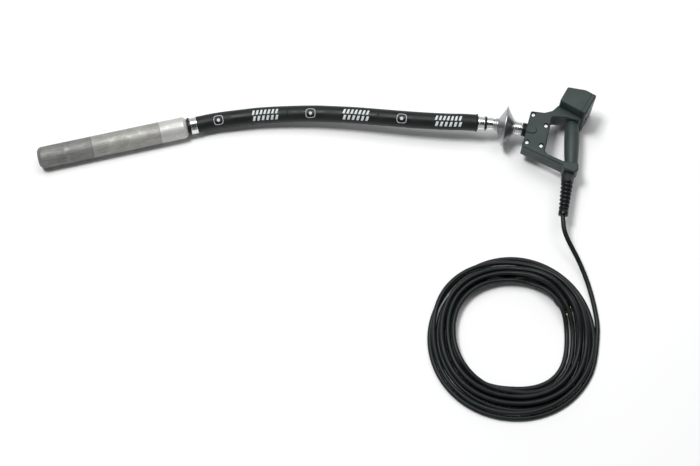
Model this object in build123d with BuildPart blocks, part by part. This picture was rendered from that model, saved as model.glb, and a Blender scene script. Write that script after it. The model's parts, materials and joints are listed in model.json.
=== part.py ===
from build123d import *
import math
import os

os.makedirs("parts", exist_ok=True)

# A hand-held concrete vibrator lying on its side: +Z up, -X towards the steel head, millimetres.
# The hub is where the hose coupling enters the D-handle; it is placed so that the origin lies
# on the floor under the middle of the tool.
hub_x = 530.18
hub_y = 139.17
mid_z = 62.5

# Head
head_r = 28.5
head_turn = 27.65
head_start = (-1211.3, -381.1)
tip_length = 144.0
tube_length = 180.0
cap_length = 72.0
bore_r = 22.0
spigot_r = 25.0
spigot_length = 13.0
shaft_r = 9.0

# Hose
hose_r = 21.8
hose_bore_r = 14.0
hinge_gap = 22.4
lead_r = 6.5

# Coupling between the hose and the handle
coupler_turn = 183.0
hose_turn = 190.0
kink_at = 79.0
kink_collar_r = 14.3
coupler_tube_r = 11.0
coupler_bore_r = 8.5
rim_r = 51.0
rim_at = 52.0
sheet = 1.2

# Handle housing
half_depth = 27.0
wall_depth = 22.5
grip_r = 19.3
screw_places = [(13.5, 37.8), (51.8, 15.4), (13.9, -42.2), (51.5, -42.9)]

# Switch box
box_half = 62.5
box_at = (71.3, 77.2)
box_turn = -16.5
box_length = 75.0
cover_depth = 12.6
box_wall = 3.5

# Mains cord
cord_r = 6.0
relief_turn = -84.6
relief_at = (135.7, -93.4)
relief_length = 115.0
coil_outer_r = 213.0
coil_hole_r = 130.0
coil_height = 38.0
coil_at = (95.0, -540.0)
coil_hole_at = (83.0, -543.0)


def turned_plane(x, y, z, turn):
    """The plane whose x axis lies flat and is turned from +X, with its origin given from the hub."""
    angle = math.radians(turn)
    level = (math.cos(angle), math.sin(angle), 0)
    return Plane(origin=(hub_x + x, hub_y + y, z), x_dir=level, z_dir=(0, 0, 1))


def lathe(plane, outline, mode=Mode.ADD):
    """Turns an outline of (along, radius) points about the plane's x axis."""
    with BuildSketch(plane) as profile:
        with BuildLine():
            Polyline(*outline, close=True)
        make_face()
    revolve(profile.sketch, axis=Axis(plane.origin, plane.x_dir), mode=mode)


def ring(plane, start, end, inner, outer, mode=Mode.ADD):
    """A plain ring about the plane's x axis."""
    lathe(plane, [(start, inner), (start, outer), (end, outer), (end, inner)], mode)


def across(plane, along):
    """The plane square to another plane's x axis, with its own y axis pointing up."""
    return Plane(origin=plane.origin + plane.x_dir * along, x_dir=plane.y_dir, z_dir=plane.x_dir)


def route(points):
    """Straight runs through the points, joined by the largest arcs that they leave room for."""
    places = [Vector(*p) for p in points]
    radii = []
    for before, corner, after in zip(places, places[1:], places[2:]):
        turn = (corner - before).get_angle(after - corner)
        shorter = min((corner - before).length, (after - corner).length)
        radii.append(0.45 * shorter / math.tan(math.radians(turn) / 2))
    with BuildLine(mode=Mode.PRIVATE) as line:
        FilletPolyline(*places, radius=radii)
    return line.line, radii


def pipe(points, outer, inner=0.0):
    """A pipe or a rod of one section along a route."""
    path, radii = route(points)
    with BuildSketch(Plane(origin=path @ 0, z_dir=path % 0)) as section:
        Circle(outer)
        if inner > 0:
            Circle(inner, mode=Mode.SUBTRACT)
    sweep(section.sketch, path=path)
    return path, radii


def from_hub(points):
    """Points given from the hub, as places in the part's frame."""
    return [(hub_x + x, hub_y + y, z) for x, y, z in points]


def stepped(start, towards, distance):
    """The place that lies a distance from start on the way towards another place."""
    a = Vector(*start)
    b = Vector(*towards)
    place = a + (b - a).normalized() * distance
    return (place.X, place.Y, place.Z)


def save(piece, name):
    piece.part.label = name
    export_step(piece.part, f"parts/{name}.step")


# ---------------------------------------------------------------- head
head = turned_plane(*head_start, head_r, head_turn)
tube_at = tip_length
cap_at = tip_length + tube_length
head_end = cap_at + cap_length
edge = 0.8

with BuildPart() as head_tip_cap:
    lathe(head, [
        (0, 0), (0, 20.5), (4.5, 25.8), (9.5, head_r), (tube_at - edge, head_r), (tube_at, head_r - edge),
        (tube_at, spigot_r + 0.1), (tube_at - spigot_length - 1, spigot_r + 0.1),
        (tube_at - spigot_length - 1, bore_r), (22, bore_r), (22, 0),
    ])
save(head_tip_cap, "head_tip_cap")

seal_groove = 1.8
tip_seal_at = tube_at - 7
cap_seal_at = cap_at + 7
with BuildPart() as head_tube:
    lathe(head, [
        (tube_at - spigot_length, bore_r), (tube_at - spigot_length, spigot_r),
        (tube_at, spigot_r), (tube_at, head_r - edge), (tube_at + edge, head_r),
        (cap_at - edge, head_r), (cap_at, head_r - edge), (cap_at, spigot_r),
        (cap_at + spigot_length, spigot_r), (cap_at + spigot_length, bore_r),
    ])
    for groove_at in (tip_seal_at, cap_seal_at):
        ring(head, groove_at - 1.2, groove_at + 1.2, spigot_r - seal_groove, spigot_r + 1, Mode.SUBTRACT)
save(head_tube, "head_tube")

with BuildPart() as head_upper_cap:
    lathe(head, [
        (cap_at + edge, head_r), (head_end - 9, head_r), (head_end - 3, head_r - 4), (head_end, head_r - 9),
        (head_end, hose_bore_r), (head_end - 24, hose_bore_r), (head_end - 24, 20),
        (cap_at + spigot_length + 1, 20), (cap_at + spigot_length + 1, spigot_r + 0.1),
        (cap_at, spigot_r + 0.1), (cap_at, head_r - edge),
    ])
save(head_upper_cap, "head_upper_cap")

with BuildPart() as head_seals:
    for groove_at in (tip_seal_at, cap_seal_at):
        ring(head, groove_at - 0.9, groove_at + 0.9, spigot_r - 1.7, spigot_r)
save(head_seals, "head_seals")

# ---------------------------------------------------------------- motor and rotor
stator_start = 150.0
stator_end = 290.0
rotor_clear_r = 14.5
bearing_places = [(40.0, 56.0), (302.0, 316.0)]
outer_race_r = 17.5
inner_race_r = 12.2
ball_r = 2.6
ball_count = 10

with BuildPart() as stator_core:
    ring(head, stator_start, stator_end, rotor_clear_r, bore_r - 0.05)
save(stator_core, "stator_core")

with BuildPart() as stator_windings:
    ring(head, stator_start - 10, stator_start, 15.5, 21)
    ring(head, stator_end, stator_end + 9, 15.5, 21)
save(stator_windings, "stator_windings")

with BuildPart() as bearing_outer_rings:
    for start, end in bearing_places:
        ring(head, start, end, outer_race_r, bore_r - 0.05)
save(bearing_outer_rings, "bearing_outer_rings")

with BuildPart() as bearing_inner_rings:
    for start, end in bearing_places:
        ring(head, start, end, shaft_r, inner_race_r)
save(bearing_inner_rings, "bearing_inner_rings")

with BuildPart() as bearing_balls:
    for start, end in bearing_places:
        with Locations(across(head, (start + end) / 2)):
            with PolarLocations((outer_race_r + inner_race_r) / 2, ball_count):
                Sphere(ball_r)
save(bearing_balls, "bearing_balls")

with BuildPart() as rotor_shaft:
    ring(head, 32, 328, 0, shaft_r)
save(rotor_shaft, "rotor_shaft")

with BuildPart() as rotor_core:
    ring(head, stator_start + 4, stator_end - 4, shaft_r, rotor_clear_r - 0.6)
save(rotor_core, "rotor_core")

with BuildPart() as eccentric_weight:
    with BuildSketch(across(head, 64)):
        Circle(20.5)
        Rectangle(60, 30, align=(Align.CENTER, Align.MIN), mode=Mode.SUBTRACT)
        Circle(shaft_r + 4)
        Circle(shaft_r, mode=Mode.SUBTRACT)
    extrude(amount=64)
save(eccentric_weight, "eccentric_weight")

with BuildPart() as end_shield:
    ring(head, 317, 323, 10, bore_r - 0.1)
save(end_shield, "end_shield")

with BuildPart() as lead_seal:
    ring(head, cap_at + spigot_length + 3, cap_at + spigot_length + 15, lead_r + 0.1, 19.9)
save(lead_seal, "lead_seal")

with BuildPart() as hose_nipple:
    ring(head, head_end - 22, head_end + 50, 9, hose_bore_r - 0.05)
save(hose_nipple, "hose_nipple")

ring_length = 7.5
with BuildPart() as head_ring:
    lathe(head, [
        (head_end, hose_bore_r), (head_end, 19.3), (head_end + 1, 21.5), (head_end + 2.5, 23.2),
        (head_end + 6.5, 23.2), (head_end + ring_length, 22), (head_end + ring_length, hose_bore_r),
    ])
save(head_ring, "head_ring")

clamp_start = head_end + 9
clamp_end = clamp_start + 17
with BuildPart() as head_clamp:
    lathe(head, [
        (clamp_start, hose_r + 0.1), (clamp_start, hose_r + 1.6), (clamp_start + 1.5, hose_r + 1.6),
        (clamp_start + 2.2, hose_r + 1), (clamp_end - 2.2, hose_r + 1), (clamp_end - 1.5, hose_r + 1.6),
        (clamp_end, hose_r + 1.6), (clamp_end, hose_r + 0.1),
    ])
    with BuildSketch(across(head, clamp_start + 3)):
        with Locations((0, -hose_r - 2.5)):
            Rectangle(12, 4.2)
    extrude(amount=11)
    ring(head, clamp_start - 1, clamp_end + 1, 0, hose_r + 0.1, Mode.SUBTRACT)
save(head_clamp, "head_clamp")

# ---------------------------------------------------------------- coupling
# The coupling turns towards the hose just past its cones; the stub is the part beyond.
coupler = turned_plane(0, 1.5, mid_z, coupler_turn)
kink = coupler.origin + coupler.x_dir * kink_at
hose_way = turned_plane(0, 0, mid_z, hose_turn).x_dir
stub = Plane(origin=kink - hose_way * kink_at, x_dir=hose_way, z_dir=(0, 0, 1))
band_front_at = 105.5
band_rear_at = 82.4
band_length = 17.5
hose_neck_r = 17.2
lip_at = 124.0

with BuildPart() as coupler_tube:
    ring(coupler, -20, kink_at, 0, coupler_tube_r)
    ring(coupler, -20, -16, 0, 16)
    ring(stub, kink_at, 152, 0, coupler_tube_r)
    lathe(coupler, [
        (kink_at - 9, 0), (kink_at - 9, coupler_tube_r), (kink_at - 4, kink_collar_r),
        (kink_at + 1.8, kink_collar_r), (kink_at + 6, coupler_tube_r), (kink_at + 6, 0),
    ])
    ring(coupler, -20, kink_at + 1, 0, coupler_bore_r, mode=Mode.SUBTRACT)
    ring(stub, kink_at - 1, 152, 0, coupler_bore_r, mode=Mode.SUBTRACT)
save(coupler_tube, "coupler_tube")

with BuildPart() as hose_ferrule:
    ring(stub, 89.0, band_front_at - 1, coupler_tube_r, 14.4)
    ring(stub, band_front_at - 1, 141, coupler_tube_r, hose_bore_r - 0.05)
save(hose_ferrule, "hose_ferrule")

with BuildPart() as band_rear:
    bead_at = band_rear_at + 4.5
    far_bead_at = band_rear_at + band_length - 4.5
    band_end = band_rear_at + band_length
    lathe(stub, [
        (band_rear_at, 14.5), (band_rear_at, 16.6), (band_rear_at + 1, 17.2), (bead_at - 0.6, 17.2),
        (bead_at, 16.6), (far_bead_at, 16.6), (far_bead_at + 0.6, 17.2),
        (band_end - 0.8, 17.2), (band_end, 16.6), (band_end, 14.5),
    ])
save(band_rear, "band_rear")

with BuildPart() as coupler_ridge:
    lathe(stub, [
        (100.1, 14.5), (100.1, 17.6), (101.1, 18.9), (104.0, 18.9), (104.9, 17.6), (104.9, 14.5),
    ])
save(coupler_ridge, "coupler_ridge")

with BuildPart() as band_front:
    front_end = band_front_at + band_length
    lathe(stub, [
        (band_front_at, 17.3), (band_front_at, 18.2), (band_front_at + 0.8, 18.7),
        (band_front_at + 3.5, 18.7), (band_front_at + 4.3, 18.1), (front_end - 4.3, 18.1),
        (front_end - 3.5, 18.7), (front_end - 0.8, 18.7), (front_end, 18.2), (front_end, 17.3),
    ])
save(band_front, "band_front")

rivet_lift = math.radians(12)
rivet_seat_r = 18.95
rivet_plane = across(stub, 103.2)
rivet_out = stub.y_dir * math.cos(rivet_lift) + Vector(0, 0, math.sin(rivet_lift))
with BuildPart() as brass_rivet:
    with BuildSketch(Plane(origin=rivet_plane.origin + rivet_out * rivet_seat_r, z_dir=rivet_out)):
        Circle(1.9)
    extrude(amount=1.3)
    chamfer(faces().sort_by(Axis(rivet_plane.origin, rivet_out))[-1].edges(), 0.5)
save(brass_rivet, "brass_rivet")

neck_r = 15.6
cone_front_end = 70.5
cone_rear_end = 28.5
with BuildPart() as front_cone:
    lathe(coupler, [
        (79, 14.5), (79, neck_r), (75.5, neck_r), (74.5, neck_r + 1), (cone_front_end, neck_r + 1),
        (rim_at + 1.8, rim_r - 2.5), (rim_at + 1.4, rim_r), (rim_at + 0.1, rim_r), (rim_at + 0.1, rim_r - 3),
        (cone_front_end - 1.6, neck_r), (73, 14.5),
    ])
save(front_cone, "front_cone")

with BuildPart() as rear_cone:
    lathe(coupler, [
        (24.7, coupler_tube_r), (24.7, 17.3), (cone_rear_end, 17.3),
        (rim_at - 1.8, rim_r - 2.5), (rim_at - 1.4, rim_r), (rim_at - 0.1, rim_r), (rim_at - 0.1, rim_r - 3),
        (cone_rear_end + 1.4, 16.1), (26.2, 16.1), (26.2, coupler_tube_r),
    ])
save(rear_cone, "rear_cone")

with BuildPart() as rim_ring:
    lathe(coupler, [
        (rim_at - 2.2, rim_r + 0.05), (rim_at - 2.2, rim_r + 0.6), (rim_at - 1.2, rim_r + 1.2),
        (rim_at + 1.2, rim_r + 1.2), (rim_at + 2.2, rim_r + 0.6), (rim_at + 2.2, rim_r + 0.05),
    ])
save(rim_ring, "rim_ring")

with BuildPart() as collar_nut:
    lathe(coupler, [
        (8.3, coupler_tube_r), (8.3, 17), (9.2, 18), (12.6, 18), (13.4, 17), (14.2, 18), (18.4, 18),
        (19.2, 17), (20, 18), (23.6, 18), (24.5, 17), (24.5, coupler_tube_r),
    ])
save(collar_nut, "collar_nut")

with BuildPart() as isolator_bush:
    lathe(coupler, [
        (-12, 12.8), (-12, 17.3), (-1.8, 17.3), (-1.2, 18.3), (0.8, 18.3), (1.4, 16), (2, 16),
        (2.8, 18), (5.6, 18), (6.4, 17), (6.4, 12.8),
    ])
save(isolator_bush, "isolator_bush")

# ---------------------------------------------------------------- hose and the lead inside it
# The hose is one piece of rubber. It is cut at three bends, where it flexes.
rear_bend = from_hub([(-257.6, -36.6, 58.2)])[0]
middle_bend = from_hub([(-495.5, -72.8, 45.0)])[0]
front_bend = from_hub([(-735.9, -139.6, 31.2)])[0]
hose_rear_corner = from_hub([(-195.0, -25.2, 60.8)])[0]
hose_mid_corners = from_hub([(-317.0, -46.2, 56.0), (-437.0, -62.6, 49.0)])
hose_fore_corners = from_hub([(-553.9, -83.6, 41.0), (-670.7, -115.2, 34.0)])


def on_axis(plane, along):
    """A place on a plane's x axis."""
    place = plane.origin + plane.x_dir * along
    return (place.X, place.Y, place.Z)


def ball_end(before, bend):
    """Rounds the end of a hose section about its bend, and keeps the bore open through it."""
    with Locations(bend):
        Sphere(hose_r)
    along = (Vector(*bend) - Vector(*before)).normalized()
    with BuildSketch(Plane(origin=Vector(*bend) - along * hose_r * 1.3, z_dir=along)) as bore:
        Circle(hose_bore_r)
    extrude(bore.sketch, amount=hose_r * 2.6, mode=Mode.SUBTRACT)


hose_front_corner = on_axis(head, head_end + 75)

with BuildPart() as hose_rear:
    pipe([on_axis(stub, lip_at + 0.5), on_axis(stub, 160), hose_rear_corner, rear_bend], hose_r, hose_bore_r)
    ball_end(hose_rear_corner, rear_bend)
    lathe(stub, [
        (band_front_at - 0.5, hose_bore_r), (band_front_at - 0.5, hose_neck_r), (lip_at, hose_neck_r),
        (lip_at, 23.2), (lip_at + 0.8, 24), (lip_at + 3, 24), (lip_at + 5.5, hose_r),
        (lip_at + 5.5, hose_bore_r),
    ])
save(hose_rear, "hose_rear")

with BuildPart() as hose_mid_rear:
    pipe([stepped(rear_bend, hose_mid_corners[0], hinge_gap), *hose_mid_corners, middle_bend],
         hose_r, hose_bore_r)
    ball_end(hose_mid_corners[1], middle_bend)
save(hose_mid_rear, "hose_mid_rear")

with BuildPart() as hose_mid_front:
    pipe([stepped(middle_bend, hose_fore_corners[0], hinge_gap), *hose_fore_corners, front_bend],
         hose_r, hose_bore_r)
    ball_end(hose_fore_corners[1], front_bend)
save(hose_mid_front, "hose_mid_front")

hose_start = head_end + ring_length + 0.5
with BuildPart() as hose_front:
    pipe([stepped(front_bend, hose_front_corner, hinge_gap), hose_front_corner, on_axis(head, hose_start)],
         hose_r, hose_bore_r)
save(hose_front, "hose_front")

lead_gap = 5.0
with BuildPart() as lead_rear:
    pipe([on_axis(coupler, -14), on_axis(coupler, kink_at), on_axis(stub, 160), hose_rear_corner,
          stepped(rear_bend, hose_rear_corner, lead_gap)], lead_r)
save(lead_rear, "lead_rear")

with BuildPart() as lead_mid_rear:
    pipe([stepped(rear_bend, hose_mid_corners[0], lead_gap), *hose_mid_corners,
          stepped(middle_bend, hose_mid_corners[1], lead_gap)], lead_r)
save(lead_mid_rear, "lead_mid_rear")

with BuildPart() as lead_mid_front:
    pipe([stepped(middle_bend, hose_fore_corners[0], lead_gap), *hose_fore_corners,
          stepped(front_bend, hose_fore_corners[1], lead_gap)], lead_r)
save(lead_mid_front, "lead_mid_front")

with BuildPart() as lead_front:
    pipe([stepped(front_bend, hose_front_corner, lead_gap), hose_front_corner,
          on_axis(head, cap_at + spigot_length + 2)], lead_r)
save(lead_front, "lead_front")

# ---------------------------------------------------------------- outer shape of the switch box
box = turned_plane(*box_at, mid_z, box_turn)
body_length = box_length - cover_depth
box_round = 4.2
box_outline = [(0, 0), (box_length, 0), (box_length, 61.5), (43, 61), (-1, 44.8)]

with BuildPart() as box_blank:
    with BuildSketch(box.offset(-box_half)):
        with BuildLine():
            FilletPolyline(*box_outline, radius=[4.6, 5, 5, 14, 5], close=True)
        make_face()
    extrude(amount=2 * box_half)
    fillet(faces().sort_by(Axis.Z)[-1].edges(), radius=box_round)
    fillet(faces().sort_by(Axis.Z)[0].edges(), radius=box_round)
box_cut = Plane(origin=box.origin + box.x_dir * (body_length - 0.5), x_dir=box.y_dir, z_dir=box.x_dir)
cover_cut = box_cut.offset(1.0)

# ---------------------------------------------------------------- D-handle housing
handle = Plane(origin=(hub_x, hub_y, mid_z))
relief = turned_plane(*relief_at, mid_z, relief_turn)
grip_top = (116.2, 52.0)
grip_turn = -79.6
grip = turned_plane(*grip_top, mid_z, grip_turn)
grip_length = 122.0
frame_outline = [
    (3.2, -57.0), (5.0, 46.5), (41, 51), (60, 62), (70.6, 79.6), (137.5, 59.5), (133.5, 50.6),
    (98, 50.3), (62.2, 42.6), (63.6, -54.5), (73, -61.4), (118, -70.5), (154, -64.5),
    (158.5, -84), (151, -94.5), (121, -92), (116, -82.5),
]
frame_round = 4.5
frame_radii = [3, 5, 12, 14, 1, 1, 4, 8, 6, 6, 6, 12, 8, 9, 6, 2, 4]
capsule_at = -6.0
capsule_r = 10.5
capsule_end = 20.5
capsule_lift = 3.5
capsule_sunk = 3.5
foot_rib_length = 60.0
foot_rib_lift = 1.4
screw_hole_r = 6.5
screw_hole_depth = 8.0
post_r = 9.0
pocket_corner = (12.0, -49.0)
pocket_size = (45.0, 88.0)

with BuildPart() as housing_blank:
    with BuildSketch(handle):
        with BuildLine():
            FilletPolyline(*frame_outline, radius=frame_radii, close=True)
        make_face()
    extrude(amount=half_depth)
    fillet(faces().sort_by(Axis.Z)[-1].edges(), radius=frame_round)
    lathe(grip, [
        (-4, 0), (-4, 13.5), (3, 14), (8, 16.2), (16, 17.8), (28, 18.9), (44, grip_r), (62, grip_r),
        (84, 18.6), (104, 17.6), (grip_length, 17), (grip_length, 0),
    ])
    split(bisect_by=handle, keep=Keep.TOP)
    # Pocket behind the plate, with a post left round each screw
    with BuildSketch(handle):
        with Locations(pocket_corner):
            Rectangle(*pocket_size, align=Align.MIN)
        with Locations(*screw_places):
            Circle(post_r, mode=Mode.SUBTRACT)
    extrude(amount=wall_depth, mode=Mode.SUBTRACT)
    # Channel through the upper arm to the switch box
    with BuildSketch(handle):
        with BuildLine():
            Polyline((36, 22), (60, 38), (64, 47), (98, 54.5), (112, 55), (112, 62), (78, 73), (66, 63),
                     (50, 50), (36, 42), close=True)
        make_face()
    extrude(amount=wall_depth - 6, mode=Mode.SUBTRACT)
    # Bore for the hose coupling, and the bore through the grip
    with BuildSketch(across(coupler, -18)) as hub_bore:
        Circle(17.5)
    extrude(hub_bore.sketch, amount=30, mode=Mode.SUBTRACT)
    with BuildSketch(across(grip, -8)) as grip_bore:
        Circle(8)
    extrude(grip_bore.sketch, amount=grip_length + 20, mode=Mode.SUBTRACT)
    # Seat for the cable gland, and a way from it into the grip's bore
    with BuildSketch(across(relief, -4)) as gland_seat:
        Circle(14.05)
    extrude(gland_seat.sketch, amount=12, mode=Mode.SUBTRACT)
    with BuildSketch(across(relief, -4)) as gland_bore:
        Circle(8.5)
    extrude(gland_bore.sketch, amount=-42, mode=Mode.SUBTRACT)
    add(box_blank.part, mode=Mode.SUBTRACT)

with BuildPart() as housing_upper:
    add(housing_blank.part)
    with BuildSketch(handle.offset(half_depth - capsule_sunk)):
        with BuildLine():
            Polyline((4.2, capsule_at - capsule_r), (capsule_end, capsule_at - capsule_r))
            ThreePointArc((capsule_end, capsule_at - capsule_r), (capsule_end + capsule_r, capsule_at),
                          (capsule_end, capsule_at + capsule_r))
            Polyline((capsule_end, capsule_at + capsule_r), (4.4, capsule_at + capsule_r),
                     (4.2, capsule_at - capsule_r))
        make_face()
    extrude(amount=capsule_lift + capsule_sunk)
    fillet(faces().sort_by(Axis.Z)[-1].edges(), radius=2.2)
    # Low rib along the foot of the switch box
    with BuildSketch(box.offset(half_depth - 0.3)):
        with Locations((foot_rib_length / 2 + 1, -3)):
            SlotOverall(foot_rib_length, 2)
    extrude(amount=foot_rib_lift + 0.3)
    with BuildSketch(handle.offset(half_depth)):
        with Locations(*screw_places):
            Circle(screw_hole_r)
    extrude(amount=-screw_hole_depth, mode=Mode.SUBTRACT)
    with BuildSketch(handle):
        with Locations(*screw_places):
            Circle(2.6)
    extrude(amount=half_depth, mode=Mode.SUBTRACT)
save(housing_upper, "housing_upper")

insert_depth = 14.0
with BuildPart() as housing_lower:
    mirror(housing_blank.part, about=handle)
    with BuildSketch(handle):
        with Locations(*screw_places):
            Circle(4.0)
    extrude(amount=-insert_depth, mode=Mode.SUBTRACT)
save(housing_lower, "housing_lower")

with BuildPart() as housing_screws:
    with BuildSketch(handle.offset(half_depth - screw_hole_depth)):
        with Locations(*screw_places):
            Circle(4.8)
    extrude(amount=3.4)
    fillet(faces().group_by(Axis.Z)[-1].edges(), radius=1.2)
    with BuildSketch(handle.offset(half_depth - screw_hole_depth + 3.4)):
        with Locations(*screw_places):
            RegularPolygon(2.6, 6)
    extrude(amount=-2.4, mode=Mode.SUBTRACT)
    with BuildSketch(handle.offset(half_depth - screw_hole_depth)):
        with Locations(*screw_places):
            Circle(2.5)
    extrude(amount=-30)
save(housing_screws, "housing_screws")

with BuildPart() as screw_inserts:
    with BuildSketch(handle):
        with Locations(*screw_places):
            Circle(4.0)
            Circle(2.52, mode=Mode.SUBTRACT)
    extrude(amount=-insert_depth)
save(screw_inserts, "screw_inserts")

terminal_at = (34.0, -14.0)
with BuildPart() as terminal_block:
    with BuildSketch(handle.offset(-wall_depth)):
        with Locations(terminal_at):
            Rectangle(22, 34)
    extrude(amount=14)
    with BuildSketch(handle.offset(-wall_depth + 14)):
        with GridLocations(0, 11, 1, 3):
            with Locations(terminal_at):
                Circle(3.4)
    extrude(amount=-5, mode=Mode.SUBTRACT)
save(terminal_block, "terminal_block")

# ---------------------------------------------------------------- switch box
cover_screw_places = [(8.0, -54.5), (8.0, 54.5), (53.5, -54.5), (53.5, 54.5)]
cover_post_r = 5.4
screw_post_length = 20.0
with BuildPart() as switch_box:
    add(box_blank.part)
    split(bisect_by=box_cut, keep=Keep.BOTTOM)
    with BuildSketch(box.offset(-box_half + box_wall)):
        with BuildLine():
            Polyline((box_wall, box_wall), (box_length, box_wall), (box_length, 61.5 - box_wall),
                     (43, 61 - box_wall), (box_wall, 46 - box_wall), close=True)
        make_face()
    extrude(amount=2 * (box_half - box_wall), mode=Mode.SUBTRACT)
    # Way in for the leads from the housing's upper arm
    with BuildSketch(box.offset(-10)):
        with Locations((28, 0)):
            Rectangle(20, 12)
    extrude(amount=20, mode=Mode.SUBTRACT)
    # Posts that the cover's screws go into
    with BuildSketch(box_cut):
        with Locations(*cover_screw_places):
            Circle(cover_post_r)
    extrude(amount=-screw_post_length)
    with BuildSketch(box_cut):
        with Locations(*cover_screw_places):
            Circle(2.03)
    extrude(amount=-screw_post_length + 4, mode=Mode.SUBTRACT)
save(switch_box, "switch_box")

switch_at = (31, 0)
with BuildPart() as switch_cover:
    add(box_blank.part)
    split(bisect_by=cover_cut, keep=Keep.TOP)
    with BuildSketch(cover_cut):
        with Locations((30.75, 0)):
            Rectangle(50, 2 * box_half - 18)
    extrude(amount=cover_depth - 4, mode=Mode.SUBTRACT)
    with BuildSketch(cover_cut):
        with Locations(switch_at):
            Rectangle(26, 36)
    extrude(amount=cover_depth + 1, mode=Mode.SUBTRACT)
    with BuildSketch(cover_cut.offset(cover_depth - 6)):
        with Locations(*cover_screw_places):
            Circle(4.6)
    extrude(amount=8, mode=Mode.SUBTRACT)
    with BuildSketch(cover_cut.offset(-1)):
        with Locations(*cover_screw_places):
            Circle(2.1)
    extrude(amount=cover_depth, mode=Mode.SUBTRACT)
save(switch_cover, "switch_cover")

with BuildPart() as box_gasket:
    with BuildSketch(box_cut.offset(0.02)):
        with Locations((30.75, 0)):
            RectangleRounded(58, 2 * box_half - 5, 5)
            Rectangle(50, 2 * box_half - 18, mode=Mode.SUBTRACT)
    extrude(amount=0.96)
    with BuildSketch(cover_cut.offset(-2)):
        with Locations(*cover_screw_places):
            Circle(2.1)
    extrude(amount=4, mode=Mode.SUBTRACT)
save(box_gasket, "box_gasket")

with BuildPart() as cover_screws:
    with BuildSketch(cover_cut.offset(cover_depth - 6)):
        with Locations(*cover_screw_places):
            Circle(4.1)
    extrude(amount=3.4)
    fillet(faces().sort_by(Axis(box.origin, box.x_dir))[-1:].edges(), radius=0.8)
    with BuildSketch(cover_cut.offset(cover_depth - 6)):
        with Locations(*cover_screw_places):
            Circle(2.0)
    extrude(amount=-cover_depth - 8)
save(cover_screws, "cover_screws")

bezel_wall = 1.5
with BuildPart() as switch_bezel:
    with BuildSketch(cover_cut.offset(cover_depth - 4)):
        with Locations(switch_at):
            Rectangle(25.8, 35.8)
            Rectangle(25.8 - 2 * bezel_wall, 35.8 - 2 * bezel_wall, mode=Mode.SUBTRACT)
    extrude(amount=3.6)
save(switch_bezel, "switch_bezel")

switch_depth = 26.0
with BuildPart() as switch_body:
    with BuildSketch(cover_cut.offset(cover_depth - 6.5)):
        with Locations(switch_at):
            Rectangle(25, 35)
    extrude(amount=-switch_depth)
    with BuildSketch(cover_cut.offset(cover_depth - 6.5 - switch_depth)):
        with Locations(switch_at):
            with GridLocations(12, 22, 2, 2):
                Rectangle(0.8, 6.3)
    extrude(amount=-8)
save(switch_body, "switch_body")

# The rocker rests tipped to its off side. It turns about the short way across its opening.
rocker_tilt = 9.0
rocker_throw = 18.0
rocker_pivot = cover_cut.origin + box.x_dir * (cover_depth - 1.2) + box.y_dir * switch_at[0]
rocker_lean = math.radians(rocker_tilt)
rocker_face = box.x_dir * math.cos(rocker_lean) + Vector(0, 0, math.sin(rocker_lean))
rocker_plane = Plane(origin=rocker_pivot, x_dir=box.y_dir, z_dir=rocker_face)
with BuildPart() as switch_rocker:
    with BuildSketch(rocker_plane.offset(-1.6)):
        RectangleRounded(21.6, 29.6, 1)
    extrude(amount=3.2)
    fillet(edges().filter_by(GeomType.LINE).group_by(Axis(rocker_pivot, box.x_dir))[-1], radius=0.6)
save(switch_rocker, "switch_rocker")

# ---------------------------------------------------------------- mains cord
nut_length = 19.0
with BuildPart() as gland_nut:
    with BuildSketch(across(relief, -3)):
        Circle(14)
        Circle(cord_r + 0.5, mode=Mode.SUBTRACT)
    extrude(amount=5)
    with BuildSketch(across(relief, 2)):
        RegularPolygon(16, 6)
        Circle(cord_r + 0.5, mode=Mode.SUBTRACT)
    extrude(amount=nut_length)
save(gland_nut, "gland_nut")

rib_count = 7
rib_start = 30.0
rib_pitch = 10.2
relief_start = 21.2
relief_outline = [(relief_start, cord_r + 0.5), (relief_start, 15.2), (rib_start - 5, 15.2)]
for index in range(rib_count):
    rib_at = rib_start + index * rib_pitch
    rib_r = 15.6 - 0.4 * index
    relief_outline += [
        (rib_at - 3.4, rib_r - 3.8), (rib_at - 2.4, rib_r),
        (rib_at + 2.4, rib_r), (rib_at + 3.4, rib_r - 3.8),
    ]
relief_outline += [
    (relief_length - 16, 8.8), (relief_length - 14.5, 12.8), (relief_length - 2, 12.8),
    (relief_length, 11.4), (relief_length, cord_r + 0.5),
]
with BuildPart() as strain_relief:
    lathe(relief, relief_outline)
save(strain_relief, "strain_relief")

with BuildPart() as grip_lead:
    pipe([on_axis(relief, -1), on_axis(grip, 102), on_axis(grip, -6)], 4.5)
save(grip_lead, "grip_lead")

with BuildPart() as hose_lead_tail:
    pipe(from_hub([(96, 61, mid_z), (66, 54, mid_z), (40, 34, mid_z), (27, 10, mid_z)]), 4.5)
save(hose_lead_tail, "hose_lead_tail")

# The cord leaves the strain relief level, comes down to the floor and climbs onto its coil.
cord_route = from_hub([
    (146.5, -208.0, 62.5), (152.0, -232.0, 61.2), (164.0, -254.0, 54.0), (182.5, -274.0, 43.0),
    (206.0, -297.0, 30.0), (229.0, -325.0, 19.0), (251.0, -357.5, 12.0), (271.0, -395.0, 10.0),
    (287.5, -434.0, 14.0), (298.5, -469.5, 20.0),
])
with BuildPart() as cord_tube:
    cord_path, cord_radii = pipe(cord_route, cord_r)
save(cord_tube, "cord_tube")
cord_length = sum(run.length for run in cord_path.edges())
print("cord tube length", round(cord_length, 1), "radii", [round(r) for r in cord_radii])
print("volume over section times length", cord_tube.part.volume / (math.pi * cord_r**2 * cord_length))

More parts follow.
